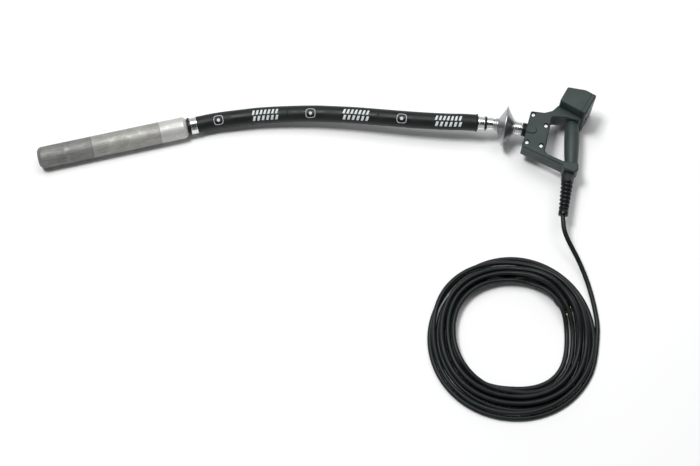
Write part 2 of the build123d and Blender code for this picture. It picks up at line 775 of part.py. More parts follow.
# The plug lies in the gap between the coil's inner and outer turns.
plug_at = (184.5, -414.1)
plug_turn = -36.0
plug_r = 13.5
plug = turned_plane(*plug_at, plug_r + 0.3, plug_turn)
with BuildPart() as plug_body:
    lathe(plug, [
        (-42, 0), (-42, 7.4), (-28, 8.2), (-12, 10.4), (-4, 12.6), (-1, plug_r), (30, plug_r),
        (32, plug_r - 1.2), (33, plug_r - 3), (33, 0),
    ])
save(plug_body, "plug_body")

pin_r = 2.4
pin_spacing = 19.0
pin_length = 19.0
with BuildPart() as plug_pins:
    with BuildSketch(across(plug, 33)):
        with GridLocations(pin_spacing, 0, 2, 1):
            Circle(pin_r)
    extrude(amount=pin_length)
save(plug_pins, "plug_pins")

with BuildPart() as cord_coil:
    with BuildSketch(Plane((hub_x + coil_at[0], hub_y + coil_at[1], 0))):
        Circle(coil_outer_r)
    extrude(amount=coil_height)
    with BuildSketch(Plane((hub_x + coil_hole_at[0], hub_y + coil_hole_at[1], 0))):
        Circle(coil_hole_r)
    extrude(amount=coil_height, mode=Mode.SUBTRACT)
    fillet(edges().filter_by(GeomType.CIRCLE), radius=6)
    with BuildSketch(turned_plane(*plug_at, 0, plug_turn)):
        Rectangle(104, 31)
    extrude(amount=coil_height, mode=Mode.SUBTRACT)
save(cord_coil, "cord_coil")
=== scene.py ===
import json
import math

import bmesh
import bpy
import numpy as np
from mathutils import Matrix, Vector


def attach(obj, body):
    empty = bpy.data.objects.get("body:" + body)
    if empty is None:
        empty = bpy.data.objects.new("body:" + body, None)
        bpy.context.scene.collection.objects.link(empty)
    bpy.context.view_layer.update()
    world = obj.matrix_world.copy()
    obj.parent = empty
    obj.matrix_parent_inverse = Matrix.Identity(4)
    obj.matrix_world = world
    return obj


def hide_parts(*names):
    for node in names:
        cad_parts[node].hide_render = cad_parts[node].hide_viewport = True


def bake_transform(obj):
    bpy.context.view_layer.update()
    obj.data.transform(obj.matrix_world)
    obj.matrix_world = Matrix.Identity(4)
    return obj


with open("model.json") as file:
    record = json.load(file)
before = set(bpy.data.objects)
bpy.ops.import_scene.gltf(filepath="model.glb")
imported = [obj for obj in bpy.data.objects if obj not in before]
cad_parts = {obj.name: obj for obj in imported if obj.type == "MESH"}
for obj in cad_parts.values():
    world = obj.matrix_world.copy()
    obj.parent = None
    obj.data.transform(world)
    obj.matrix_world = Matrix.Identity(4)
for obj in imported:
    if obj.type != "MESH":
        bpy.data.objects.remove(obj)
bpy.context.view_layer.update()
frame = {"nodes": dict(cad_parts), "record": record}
nodes = frame["nodes"]

# The hub is where the hose coupling enters the D-handle. Lengths below are millimetres from it,
# in plan, with heights from the floor.
HUB_X = 530.18
HUB_Y = 139.17
MM = 0.001


def place(x, y, z):
    """A place given in millimetres from the hub, in the frame's metres."""
    return Vector(((HUB_X + x) * MM, (HUB_Y + y) * MM, z * MM))


def heading(degrees):
    """The level unit vector at an angle from +X."""
    return Vector((math.cos(math.radians(degrees)), math.sin(math.radians(degrees)), 0.0))


# ---------------------------------------------------------------- camera
VIEW_TURN = 14.5
AZIMUTH = math.radians(VIEW_TURN)
ELEVATION = math.radians(70)
TARGET = Vector((0.1559, -0.2287, 0.0))
DISTANCE = 4.010
SENSOR_WIDTH = 36.0
FOCAL_LENGTH = 79.71
camera = bpy.data.objects.new("camera", bpy.data.cameras.new("camera"))
back = Vector((
    math.sin(AZIMUTH) * math.cos(ELEVATION),
    -math.cos(AZIMUTH) * math.cos(ELEVATION),
    math.sin(ELEVATION),
))
camera.location = TARGET + back * DISTANCE
camera.rotation_mode = "QUATERNION"
camera.rotation_quaternion = (-back).to_track_quat("-Z", "Y")
camera.data.sensor_width = SENSOR_WIDTH
camera.data.lens = FOCAL_LENGTH
bpy.context.collection.objects.link(camera)
bpy.context.scene.camera = camera

# ---------------------------------------------------------------- mains cord
CORD_R = 6.0
RELIEF_AT = (135.7, -93.4, 62.5)
RELIEF_TURN = -84.6
PLUG_AT = (184.5, -414.1, 13.8)
PLUG_TURN = -36.0
PLUG_R = 13.5
BOOT_R = 9
BOOT_END = -42
PIN_R = 3
PIN_SIDE = 9.5
COIL_AT = (95.0, -540.0)
COIL_START_TURN = 10.0
# From the strain relief the cord comes down to the floor and runs on to the coil.
cord_route = [
    (146.5, -208.0, 62.5), (152.0, -232.0, 61.2), (164.0, -254.0, 54.0), (182.5, -274.0, 43.0),
    (206.0, -297.0, 30.0), (229.0, -325.0, 19.0), (251.0, -357.5, 11.0), (271.0, -395.0, 7.0),
    (287.5, -434.0, 6.5), (298.5, -469.5, 6.5),
]
# The coil's radius at eight stations of each turn, clockwise from the right-hand side.
STATIONS = (0, 39, 89, 143, 175, 215, 266, 310)
coil_turns = [
    (212, 212, 206, 213, 211, 205, 211, 207),
    (201, 199, 194, 201, 199, 214, 195, 193),
    (181, 186, 169, 179, 180, 191, 176, 176),
    (164, 168, 152, 164, 163, 178, 163, 160),
    (147, 160, 139, 147, 151, 160, 146, 148),
    (132, 146, 128, 151, 155, 163, 150, 178),
    (160, 174, 156, 163, 164, 170, 168, 190),
    (174, 188, 170, 174, 178, 183, 184, 199),
    (189, 199, 184, 186, 190, 192, 165),
]
# The centreline is worked out every FINE_STEP degrees, and each CONTROL_EVERY-th place is a control point.
FINE_STEP = 3.0
SAMPLES_PER_TURN = round(360 / FINE_STEP)
CONTROL_EVERY = 5
PLAN_SMOOTHING = 7
HEIGHT_SMOOTHING = 3
WIDEN = 2
# The air between two turns, and between the cord and the floor or the plug.
TURN_GAP = 0.4
FLOOR_GAP = 0.3
# Samples this near along the cord can't hold each other up. NOT_CORD is an index far from all of them.
OWN_SAMPLES = 12
NOT_CORD = -1000
# The first samples of the coil stay on the floor, where the free stretch arrives.
FLAT_START = 8
FLAT_HEIGHT = 6.5


def smoothed(values, reach):
    """Each value's weighted mean with its neighbours up to reach away."""
    weights = np.hanning(2 * reach + 3)[1:-1]
    padded = np.pad(values, reach, mode="edge")
    return np.convolve(padded, weights / weights.sum(), mode="valid")


def coil_plan():
    """The coil's centreline seen from above, in millimetres from the hub."""
    at = [360 * turn + station for turn, row in enumerate(coil_turns) for station in STATIONS[:len(row)]]
    radii = [radius for row in coil_turns for radius in row]
    along = np.arange(0, at[-1] + 0.1, FINE_STEP)
    radius = smoothed(np.interp(along, at, radii), PLAN_SMOOTHING)
    angle = np.radians(COIL_START_TURN - along)
    return np.stack([COIL_AT[0] + radius * np.cos(angle), COIL_AT[1] + radius * np.sin(angle)], axis=1)


def on_plug(along, across=0.0):
    """A place in plan beside the plug's axis."""
    turn = math.radians(PLUG_TURN)
    return (
        PLUG_AT[0] + along * math.cos(turn) - across * math.sin(turn),
        PLUG_AT[1] + along * math.sin(turn) + across * math.cos(turn),
    )


def settled(plan, order, solid):
    """Heights at which the cord rests on the floor, on solid's balls and on the turns laid before it."""
    height = np.zeros(len(plan))
    gap = 2 * CORD_R + TURN_GAP
    laid_xy = [np.array([p[:2] for p in solid])]
    laid_z = [np.array([p[2] for p in solid])]
    laid_gap = [np.array([p[3] + CORD_R + FLOOR_GAP for p in solid])]
    laid_index = [np.full(len(solid), NOT_CORD)]
    for first, last in order:
        xy, z = np.concatenate(laid_xy), np.concatenate(laid_z)
        reach, index = np.concatenate(laid_gap), np.concatenate(laid_index)
        mine = np.arange(first, last)
        apart = np.linalg.norm(plan[first:last, None] - xy[None], axis=2)
        over = z + np.sqrt(np.maximum(reach**2 - apart**2, 0))
        touching = (apart < reach) & (np.abs(mine[:, None] - index[None]) > OWN_SAMPLES)
        raw = np.maximum(np.where(touching, over, 0).max(axis=1), CORD_R + FLOOR_GAP)
        widened = np.array([raw[max(0, i - WIDEN):i + WIDEN + 1].max() for i in range(len(raw))])
        height[first:last] = smoothed(widened, HEIGHT_SMOOTHING)
        laid_xy.append(plan[first:last])
        laid_z.append(height[first:last])
        laid_gap.append(np.full(last - first, gap))
        laid_index.append(mine)
    return height


coil = coil_plan()
# The last turn swings out of the coil and runs straight into the plug's boot, ending inside it.
SWING_START = -108
SWING_PLACES = 9
SWING_LENGTH = 80
SWING_SIDE = 48
CORD_END = -34
lead_in = [
    on_plug(s, -SWING_SIDE * ((BOOT_END - s) / SWING_LENGTH) ** 2)
    for s in np.linspace(SWING_START, BOOT_END, SWING_PLACES)
]
plan = np.concatenate([coil, lead_in, [on_plug(CORD_END)]])
turn_ends = [SAMPLES_PER_TURN * k for k in range(len(coil_turns))] + [len(plan)]
laying = [(turn_ends[0], turn_ends[1])]
laying += [(turn_ends[k], turn_ends[k + 1]) for k in range(len(coil_turns) - 1, 0, -1)]
# The plug's body, its pins and its boot, as balls along them: x, y, z and radius.
plug_solid = [(*on_plug(s), PLUG_AT[2], PLUG_R) for s in range(-6, 36, 4)]
plug_solid += [
    (*on_plug(s, side), PLUG_AT[2], PIN_R) for s in range(38, 54, 4) for side in (-PIN_SIDE, PIN_SIDE)
]
plug_solid += [(*on_plug(s), PLUG_AT[2], BOOT_R) for s in range(-38, -6, 4)]
height = settled(plan, laying, plug_solid)
into_plug = len(lead_in) + 1
rise = np.linspace(0, 1, into_plug) ** 2
height[-into_plug:] = height[-into_plug] + (PLUG_AT[2] - height[-into_plug]) * rise
height[:FLAT_START] = np.minimum(height[:FLAT_START], FLAT_HEIGHT)

# A spline of order 3 runs a little inside a ring of control points, so they stand out by that much.
swell = 1 / math.cos(math.radians(FINE_STEP * CONTROL_EVERY / 2))
controls = [place(*p) for p in cord_route]
for i in range(CONTROL_EVERY, len(coil), CONTROL_EVERY):
    x, y = np.array(COIL_AT) + (coil[i] - np.array(COIL_AT)) * swell
    controls.append(place(x, y, height[i]))
LEAD_EVERY = 3
for i in [*range(len(coil) + 1, len(plan) - 1, LEAD_EVERY), len(plan) - 2, len(plan) - 1]:
    controls.append(place(*plan[i], height[i]))


def spline_curve(name, points, radius):
    """A curve of one open NURBS spline, with a round section."""
    curve = bpy.data.curves.new(name, "CURVE")
    curve.dimensions = "3D"
    curve.resolution_u = 8
    curve.bevel_depth = radius
    curve.bevel_resolution = 7
    curve.use_fill_caps = True
    spline = curve.splines.new("NURBS")
    spline.points.add(len(points) - 1)
    for point, where in zip(spline.points, points):
        point.co = (*where, 1)
    spline.order_u = 3
    spline.use_endpoint_u = True
    obj = bpy.data.objects.new(name, curve)
    bpy.context.collection.objects.link(obj)
    return obj


cord = spline_curve("mains_cord", controls, CORD_R * MM)

# ---------------------------------------------------------------- materials
# The steel's drawn lines run along the head.
HEAD_TURN = 27.65
GRAIN_TURN = math.radians(HEAD_TURN)
# Partly metallic, because worn bare steel is pale from every side.
STEEL_METALLIC = 0.45
# The dark pieces are matt, so they reflect less than a clean surface does.
RUBBER_SPECULAR = 0.24
MOULDED_SPECULAR = 0.22
DUST_COLOUR = (0.42, 0.44, 0.43)


class Look:
    """A material's node tree, with its shader."""

    def __init__(self, name, colour, roughness, metallic=0.0):
        self.material = bpy.data.materials.new(name)
        self.material.use_nodes = True
        self.tree = self.material.node_tree
        self.shader = self.tree.nodes["Principled BSDF"]
        self.shader.inputs["Base Color"].default_value = (*colour, 1)
        self.shader.inputs["Roughness"].default_value = roughness
        self.shader.inputs["Metallic"].default_value = metallic
        self.where = self.add("ShaderNodeTexCoord").outputs["Object"]

    def add(self, kind, **settings):
        node = self.tree.nodes.new(kind)
        for key, value in settings.items():
            setattr(node, key, value)
        return node

    def put(self, socket, value):
        """Links a socket to the value's, or sets it."""
        if isinstance(value, bpy.types.NodeSocket):
            self.tree.links.new(value, socket)
        elif isinstance(value, tuple) and len(value) == 3 and socket.type == "RGBA":
            socket.default_value = (*value, 1)
        else:
            socket.default_value = value

    def stretched(self, scale, turn):
        """The object's coordinates, turned about Z and stretched along each axis."""
        node = self.add("ShaderNodeMapping", vector_type="TEXTURE")
        self.put(node.inputs["Vector"], self.where)
        node.inputs["Rotation"].default_value = (0, 0, turn)
        node.inputs["Scale"].default_value = tuple(1 / s for s in scale)
        return node.outputs["Vector"]

    def noise(self, scale, detail=3.0, roughness=0.55, vector=None, distortion=0.0):
        node = self.add("ShaderNodeTexNoise")
        self.put(node.inputs["Vector"], vector or self.where)
        node.inputs["Scale"].default_value = scale
        node.inputs["Detail"].default_value = detail
        node.inputs["Roughness"].default_value = roughness
        node.inputs["Distortion"].default_value = distortion
        return node.outputs["Fac"]

    def remap(self, value, low, high, to_low=0.0, to_high=1.0):
        """The value with low and high brought to to_low and to_high, eased at both ends."""
        node = self.add("ShaderNodeMapRange", interpolation_type="SMOOTHSTEP")
        self.put(node.inputs["Value"], value)
        for name, number in zip(("From Min", "From Max", "To Min", "To Max"), (low, high, to_low, to_high)):
            node.inputs[name].default_value = number
        return node.outputs["Result"]

    def math(self, operation, a, b=0.0):
        node = self.add("ShaderNodeMath", operation=operation)
        self.put(node.inputs[0], a)
        self.put(node.inputs[1], b)
        return node.outputs["Value"]

    def mix(self, factor, a, b):
        node = self.add("ShaderNodeMix", data_type="RGBA")
        self.put(node.inputs["Factor"], factor)
        self.put(node.inputs["A"], a)
        self.put(node.inputs["B"], b)
        return node.outputs["Result"]

    def colour(self, value):
        self.put(self.shader.inputs["Base Color"], value)

    def roughness(self, value):
        self.put(self.shader.inputs["Roughness"], value)

    def specular(self, value):
        self.put(self.shader.inputs["Specular IOR Level"], value)

    def bump(self, height, distance, strength):
        """Adds a bump of that height in metres over the ones before."""
        node = self.add("ShaderNodeBump")
        node.inputs["Strength"].default_value = strength
        node.inputs["Distance"].default_value = distance
        self.put(node.inputs["Height"], height)
        normal = self.shader.inputs["Normal"]
        if normal.links:
            self.put(node.inputs["Normal"], normal.links[0].from_socket)
        self.put(normal, node.outputs["Normal"])


def shade(colour, factor):
    """The colour made lighter or darker by a factor."""
    return tuple(c * factor for c in colour)


def steel(name, dark, light, roughness, scuff=0.5):
    """Bare steel, drawn along an axis: fine lines, blotches, scratches and rubbed patches."""
    look = Look(name, light, roughness, STEEL_METALLIC)
    grain = look.noise(1.0, 4, 0.7, look.stretched((26, 340, 340), GRAIN_TURN))
    fine = look.noise(1.0, 2, 0.6, look.stretched((300, 1800, 1800), GRAIN_TURN))
    blotch = look.noise(14, 4, 0.6)
    worn = look.remap(look.noise(45, 5, 0.65, distortion=0.6), 0.5, 0.68)
    crossing = look.stretched((40, 900, 300), GRAIN_TURN + 0.5)
    scratch = look.remap(look.noise(1.0, 3, 0.6, crossing), 0.66, 0.72)
    base = look.mix(look.remap(blotch, 0.3, 0.7), dark, light)
    lines = look.math("MULTIPLY", look.remap(grain, 0.35, 0.7), 0.55)
    base = look.mix(lines, base, shade(light, 1.35))
    base = look.mix(look.math("MULTIPLY", worn, scuff), base, shade(light, 1.7))
    base = look.mix(look.math("MULTIPLY", scratch, 0.5), base, shade(dark, 0.45))
    look.colour(base)
    look.roughness(look.remap(look.math("ADD", worn, look.math("MULTIPLY", grain, 0.8)), 0.1, 1.4,
                              roughness + 0.06, roughness - 0.05))
    look.bump(grain, 0.00012, 0.6)
    look.bump(fine, 0.00004, 0.5)
    look.bump(scratch, 0.00006, 0.4)
    return look.material


def chrome(name, colour, roughness, dirt=0.35):
    """Bright metal with a haze and patches of grime."""
    look = Look(name, colour, roughness, metallic=1.0)
    grime = look.remap(look.noise(60, 5, 0.65), 0.52, 0.75)
    haze = look.noise(25, 4, 0.6)
    look.colour(look.mix(look.math("MULTIPLY", grime, dirt), colour, shade(colour, 0.45)))
    look.roughness(look.remap(look.math("ADD", haze, grime), 0.3, 1.4, roughness, roughness + 0.18))
    look.bump(look.noise(260, 3), 0.00003, 0.5)
    return look.material


def rubber(name, colour, roughness, dust=0.0):
    """Black rubber with a bloom, handling marks and, where asked, pale dust."""
    look = Look(name, colour, roughness)
    bloom = look.remap(look.noise(22, 4, 0.6), 0.35, 0.7)
    base = look.mix(bloom, shade(colour, 0.8), shade(colour, 1.35))
    if dust:
        specks = look.remap(look.noise(520, 2, 0.5), 0.69, 0.76)
        where = look.remap(look.noise(16, 3, 0.55), 0.5, 0.72)
        amount = look.math("MULTIPLY", look.math("MULTIPLY", specks, where), dust)
        base = look.mix(amount, base, DUST_COLOUR)
    look.colour(base)
    look.roughness(look.remap(bloom, 0, 1, roughness - 0.05, roughness + 0.1))
    look.specular(RUBBER_SPECULAR)
    look.bump(look.noise(900, 3), 0.00006, 0.5)
    look.bump(look.noise(60, 3), 0.0002, 0.25)
    return look.material


def moulded(name, colour, roughness, grain=0.00008, grain_scale=1500, wear=0.35):
    """Moulded plastic with a spark-eroded texture, faint flow marks and rubbed pale spots."""
    look = Look(name, colour, roughness)
    cloud = look.remap(look.noise(9, 4, 0.6), 0.3, 0.7)
    base = look.mix(cloud, shade(colour, 0.88), shade(colour, 1.12))
    rubbed = look.remap(look.noise(70, 5, 0.7, distortion=0.4), 0.62, 0.8)
    base = look.mix(look.math("MULTIPLY", rubbed, wear), base, shade(colour, 1.9))
    look.colour(base)
    look.roughness(look.remap(look.noise(40, 4, 0.6), 0.3, 0.7, roughness - 0.06, roughness + 0.08))
    look.specular(MOULDED_SPECULAR)
    look.bump(look.noise(grain_scale, 2, 0.5), grain, 0.8)
    look.bump(look.noise(30, 2), 0.0002, 0.2)
    return look.material


looks = {
    "steel_tip": steel("steel_tip", (0.125, 0.125, 0.118), (0.22, 0.22, 0.21), 0.56, 0.2),
    "steel_tube": steel("steel_tube", (0.215, 0.214, 0.198), (0.33, 0.327, 0.305), 0.56, 0.22),
    "steel_cap": steel("steel_cap", (0.37, 0.37, 0.358), (0.5, 0.5, 0.482), 0.54, 0.2),
    "seal_rubber": rubber("seal_rubber", (0.02, 0.02, 0.02), 0.6),
    "motor_iron": steel("motor_iron", (0.08, 0.08, 0.08), (0.14, 0.14, 0.14), 0.5),
    "copper": chrome("copper", (0.72, 0.36, 0.18), 0.3),
    "bearing_steel": chrome("bearing_steel", (0.6, 0.6, 0.6), 0.22),
    "aluminium": chrome("aluminium", (0.74, 0.74, 0.75), 0.4),
    "black_rubber": rubber("black_rubber", (0.006, 0.0085, 0.0085), 0.36),
    "band_steel": chrome("band_steel", (0.74, 0.745, 0.74), 0.12),
    "cone_steel": chrome("cone_steel", (0.41, 0.425, 0.425), 0.33),
    "brass": chrome("brass", (0.72, 0.5, 0.2), 0.25),
    "hose_rubber": rubber("hose_rubber", (0.008, 0.0115, 0.0108), 0.42, dust=0.35),
    "lead_sheath": rubber("lead_sheath", (0.03, 0.03, 0.03), 0.5),
    "handle_plastic": moulded("handle_plastic", (0.037, 0.0495, 0.0495), 0.44),
    "screw_steel": chrome("screw_steel", (0.58, 0.58, 0.58), 0.4, 0.15),
    "pale_plastic": moulded("pale_plastic", (0.7, 0.68, 0.62), 0.45),
    "black_plastic": moulded("black_plastic", (0.009, 0.0115, 0.0115), 0.4),
    "rocker_plastic": moulded("rocker_plastic", (0.014, 0.014, 0.014), 0.25, 0.00002),
    "cord_rubber": rubber("cord_rubber", (0.007, 0.0105, 0.0103), 0.45, dust=0.6),
    "plug_rubber": rubber("plug_rubber", (0.004, 0.0055, 0.0055), 0.5),
    "mark_paint": moulded("mark_paint", (0.62, 0.66, 0.66), 0.5, 0.00002, 900, 0.5),
}

# ---------------------------------------------------------------- mesh tools


def mesh_object(name, points, faces, slot, smooth=True):
    """A new piece of the visual model, with its slot's material."""
    mesh = bpy.data.meshes.new(name)
    mesh.from_pydata([tuple(p) for p in points], [], faces)
    mesh.polygons.foreach_set("use_smooth", [smooth] * len(mesh.polygons))
    mesh.materials.append(looks[slot])
    mesh.update()
    obj = bpy.data.objects.new(name, mesh)
    bpy.context.collection.objects.link(obj)
    return obj


WELD_APART = 0.00001
BARE_RESOLUTION = 24


def weld(obj):
    """Joins the points of a mesh that lie on each other."""
    shape = bmesh.new()
    shape.from_mesh(obj.data)
    bmesh.ops.remove_doubles(shape, verts=shape.verts, dist=WELD_APART)
    bmesh.ops.recalc_face_normals(shape, faces=shape.faces)
    shape.to_mesh(obj.data)
    shape.free()


def ring_faces(rings, around):
    """Faces that join rings of as many points one after another, and close both ends."""
    faces = []
    for i in range(rings - 1):
        for j in range(around):
            k = (j + 1) % around
            faces.append((i * around + j, i * around + k, (i + 1) * around + k, (i + 1) * around + j))
    faces.append(tuple(reversed(range(around))))
    faces.append(tuple((rings - 1) * around + j for j in range(around)))
    return faces


def turned(name, origin, direction, profile, slot, around, shape):
    """A piece turned about an axis from (along, radius) pairs in millimetres.

    shape gives the radius at a length along the axis and an angle round it.
    """
    side = direction.cross(Vector((0, 0, 1))).normalized()
    up = side.cross(direction)
    points = []
    for along, radius in profile:
        for j in range(around):
            angle = 2 * math.pi * j / around
            r = shape(along, angle, radius)
            outward = side * math.cos(angle) + up * math.sin(angle)
            points.append(origin + direction * along * MM + outward * r * MM)
    return mesh_object(name, points, ring_faces(len(profile), around), slot)


def curve_line(controls, step):
    """Points evenly spaced along the spline with those control points, and their lengths along it."""
    bare = spline_curve("bare", controls, 0.0)
    bare.data.resolution_u = BARE_RESOLUTION
    mesh = bpy.data.meshes.new_from_object(bare)
    line = np.array([v.co for v in mesh.vertices])
    bpy.data.meshes.remove(mesh)
    bpy.data.curves.remove(bare.data)
    along = np.concatenate([[0], np.cumsum(np.linalg.norm(np.diff(line, axis=0), axis=1))])
    at = np.linspace(0, along[-1], round(along[-1] / step) + 1)
    return np.stack([np.interp(at, along, line[:, k]) for k in range(3)], axis=1), at


def axes_along(line):
    """The level side and the up direction at each point of a line."""
    direction = np.gradient(line, axis=0)
    direction /= np.linalg.norm(direction, axis=1)[:, None]
    side = np.cross(direction, (0, 0, 1))
    side /= np.linalg.norm(side, axis=1)[:, None]
    return side, np.cross(side, direction)


# ---------------------------------------------------------------- hose
HOSE_R = 21.8
HEAD_AT = (-1211.3, -381.1, 28.5)
COUPLER_AT = (0.0, 1.5, 62.5)
COUPLER_TURN = 183.0
HOSE_TURN = 190.0
KINK_AT = 79.0
HOSE_FIRST = 121.5
HOSE_STEP = 0.0015
HOSE_AROUND = 64
# The moulded lip at the hose's start, as (along, radius).
LIP = [(0.0, 15.0), (2.4, 17.0), (2.5, 23.0), (3.2, 23.9), (5.4, 23.9), (7.4, HOSE_R), (12.0, HOSE_R)]


def on_head(along):
    """A place on the head's axis, from its tip."""
    return place(*HEAD_AT) + heading(HEAD_TURN) * along * MM


def on_stub(along):
    """A place on the coupling's axis, past its turn towards the hose."""
    way = heading(COUPLER_TURN) * KINK_AT + heading(HOSE_TURN) * (along - KINK_AT)
    return place(*COUPLER_AT) + way * MM


rear_bend = place(-257.6, -36.6, 58.2)
middle_bend = place(-495.5, -72.8, 45.0)
front_bend = place(-735.9, -139.6, 31.2)
hose_controls = [
    on_stub(HOSE_FIRST), on_stub(135), on_stub(160), place(-195.0, -25.2, 60.8), rear_bend,
    place(-317.0, -46.2, 56.0), place(-437.0, -62.6, 49.0), middle_bend, place(-553.9, -83.6, 41.0),
    place(-670.7, -115.2, 34.0), front_bend, on_head(471), on_head(430), on_head(404),
]
hose_line, hose_at = curve_line(hose_controls, HOSE_STEP)
hose_side, hose_up = axes_along(hose_line)


def hose_radius(along):
    """The hose's radius in metres at a length from its start in the coupling, with its moulded lip."""
    return float(np.interp(along / MM, [at for at, _ in LIP], [r for _, r in LIP])) * MM


def hose_piece(name, first, last):
    """The hose's skin from one point of its line to another."""
    points = []
    stations = list(range(first, last + 1))
    for i in stations:
        r = hose_radius(hose_at[i])
        for j in range(HOSE_AROUND):
            angle = 2 * math.pi * j / HOSE_AROUND
            outward = hose_side[i] * math.cos(angle) + hose_up[i] * math.sin(angle)
            points.append(hose_line[i] + outward * r)
    return mesh_object(name, points, ring_faces(len(stations), HOSE_AROUND), "hose_rubber")


def nearest(point):
    """The index of the point of the hose's line that lies nearest to a place."""
    return int(np.argmin(np.linalg.norm(hose_line - np.array(point), axis=1)))


# The skins meet about halfway between the joints, where nothing bends.
cut_rear = nearest(place(-377, -54.4, 52.5))
cut_front = nearest(place(-612, -99.0, 37.5))
hose_parts = [
    ("hose_skin_rear", 0, cut_rear, "coupling", "hose_rear_half", rear_bend),
    ("hose_skin_middle", cut_rear, cut_front, "hose_rear_half", "hose_front_half", middle_bend),
    ("hose_skin_front", cut_front, len(hose_line) - 1, "hose_front_half", "head", front_bend),
]


def bend_with(piece, body_a, body_b, bend):
    """Bakes the piece's place into its mesh."""
    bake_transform(piece)


skin_replaces = {
    "hose_skin_rear": ("hose_rear",),
    "hose_skin_middle": ("hose_mid_rear",),
    "hose_skin_front": ("hose_mid_front", "hose_front"),
}
for name, first, last, body_a, body_b, bend in hose_parts:
    piece = hose_piece(name, first, last)
    bend_with(piece, body_a, body_b, bend)
    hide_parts(*skin_replaces[name])

# ---------------------------------------------------------------- marks on the hose
# Plain slanted bars in two rows, and rounded squares with a dot. Lengths are in metres.
FACING = math.radians(110)
MARK_LIFT = 0.00022
MARK_SINK = 0.0004
# The bars' rows, each with its distance from the marks' middle and its number of bars.
BAR_ROWS = ((0.0083, 6), (-0.0083, 7))
ROW_LENGTH = 0.072
BAR_SLANT = 0.0035
BAR_HEIGHT = 0.0125
BAR_START = 0.001
BAR_SHARE = 0.62
BAR_COLUMNS = 5
BADGE_OUTER = 0.0128
BADGE_INNER = 0.0116
BADGE_POWER = 2 / 3.2
BADGE_COLUMNS = 48
DOT_OUTER = 0.0042
DOT_INNER = 0.0004
DOT_COLUMNS = 20


def on_hose(along, round_it, lift):
    """A place lift above the hose's surface, at a length along it and a distance round it."""
    base = np.array([np.interp(along, hose_at, hose_line[:, k]) for k in range(3)])
    side = np.array([np.interp(along, hose_at, hose_side[:, k]) for k in range(3)])
    up = np.array([np.interp(along, hose_at, hose_up[:, k]) for k in range(3)])
    radius = HOSE_R * MM
    angle = FACING + round_it / radius
    return base + (side * math.cos(angle) + up * math.sin(angle)) * (radius + lift)


def add_strip(points, faces, near, far, columns):
    """A thin slab on the hose between two edges, each a function of a share from 0 to 1.

    Gives the index of its first and last four points, for faces that close it.
    """
    start = len(points)
    for c in range(columns + 1):
        for edge in (near, far):
            along, round_it = edge(c / columns)
            points.append(on_hose(along, round_it, MARK_LIFT))
            points.append(on_hose(along, round_it, -MARK_SINK))
    for c in range(columns):
        a = start + 4 * c
        b = a + 4
        faces += [
            (a, b, b + 2, a + 2), (a + 1, a + 3, b + 3, b + 1),
            (a, a + 1, b + 1, b), (a + 2, b + 2, b + 3, a + 3),
        ]
    return start, start + 4 * columns


def slanted(left, row):
    """The slanted edge of a bar, from a length along the hose and its row's distance round it."""
    return lambda t: (left + BAR_SLANT * (t - 0.5), row + (t - 0.5) * BAR_HEIGHT)


def bars_mark(points, faces, middle):
    """Two rows of slanted bars."""
    for row, bars in BAR_ROWS:
        width = ROW_LENGTH / bars
        for k in range(bars):
            left = middle - ROW_LENGTH / 2 + k * width
            edges = (slanted(left + BAR_START, row), slanted(left + width * BAR_SHARE, row))
            start, end = add_strip(points, faces, *edges, BAR_COLUMNS)
            faces.append((start, start + 2, start + 3, start + 1))
            faces.append((end, end + 1, end + 3, end + 2))


def loop(middle, size, power=1.0):
    """A closed outline on the hose: a circle, or a rounded square where the power is less than 1."""
    def bent(value):
        return math.copysign(abs(value) ** power, value) * size

    def at(t):
        angle = 2 * math.pi * t
        return (middle + bent(math.cos(angle)), bent(math.sin(angle)))
    return at


def badge_mark(points, faces, middle):
    """A rounded square in outline, with a round dot."""
    square = (loop(middle, BADGE_OUTER, BADGE_POWER), loop(middle, BADGE_INNER, BADGE_POWER))
    add_strip(points, faces, *square, BADGE_COLUMNS)
    add_strip(points, faces, loop(middle, DOT_OUTER), loop(middle, DOT_INNER), DOT_COLUMNS)


mark_places = [
    ("rear", [(place(-197.9, -26, 60.7), bars_mark), (place(-316.7, -46, 56), badge_mark)]),
    ("middle", [(place(-436.3, -62.5, 49), bars_mark), (place(-553, -83, 41), badge_mark)]),
    ("front", [(place(-670.9, -115, 34), bars_mark), (place(-784.5, -159, 28.9), badge_mark)]),
]
for (where, marks), part in zip(mark_places, hose_parts):
    points, faces = [], []
    for middle, draw in marks:
        draw(points, faces, float(hose_at[nearest(middle)]))
    marks_piece = mesh_object("hose_marks_" + where, points, faces, "mark_paint", smooth=False)
    weld(marks_piece)
    bend_with(marks_piece, *part[3:])

# ---------------------------------------------------------------- strain relief
# Lengths from the relief's start, radii, and what both radii lose over TAPER_OVER.
RIBS_FROM = 25.5
RIBS_TO = 99.5
FIRST_RIB = 29.0
RIB_PITCH = 10.9
RIB_HALF = 4.7
RIB_FADE = 2.0
TAPER_OVER = 75
CORE_R = 10.8
CORE_TAPER = 1.6
RIB_R = 15.7
RIB_TAPER = 2.6
RELIEF_AROUND = 72
RELIEF_STEP = 0.6
RELIEF_STEPS = 122


def relief_shape(along, angle, radius):
    """Helical ribs between the collar and the end ring."""
    if not RIBS_FROM < along < RIBS_TO:
        return radius
    phase = (along - FIRST_RIB) / RIB_PITCH - angle / (2 * math.pi)
    off = abs(phase - round(phase)) * RIB_PITCH
    rib = math.sqrt(max(0.0, 1 - (off / RIB_HALF) ** 2))
    top = RIB_R - RIB_TAPER * (along - RIBS_FROM) / TAPER_OVER
    core = CORE_R - CORE_TAPER * (along - RIBS_FROM) / TAPER_OVER
    fade = min(1.0, (along - RIBS_FROM) / RIB_FADE, (RIBS_TO - along) / RIB_FADE)
    return core + (top - core) * rib * fade


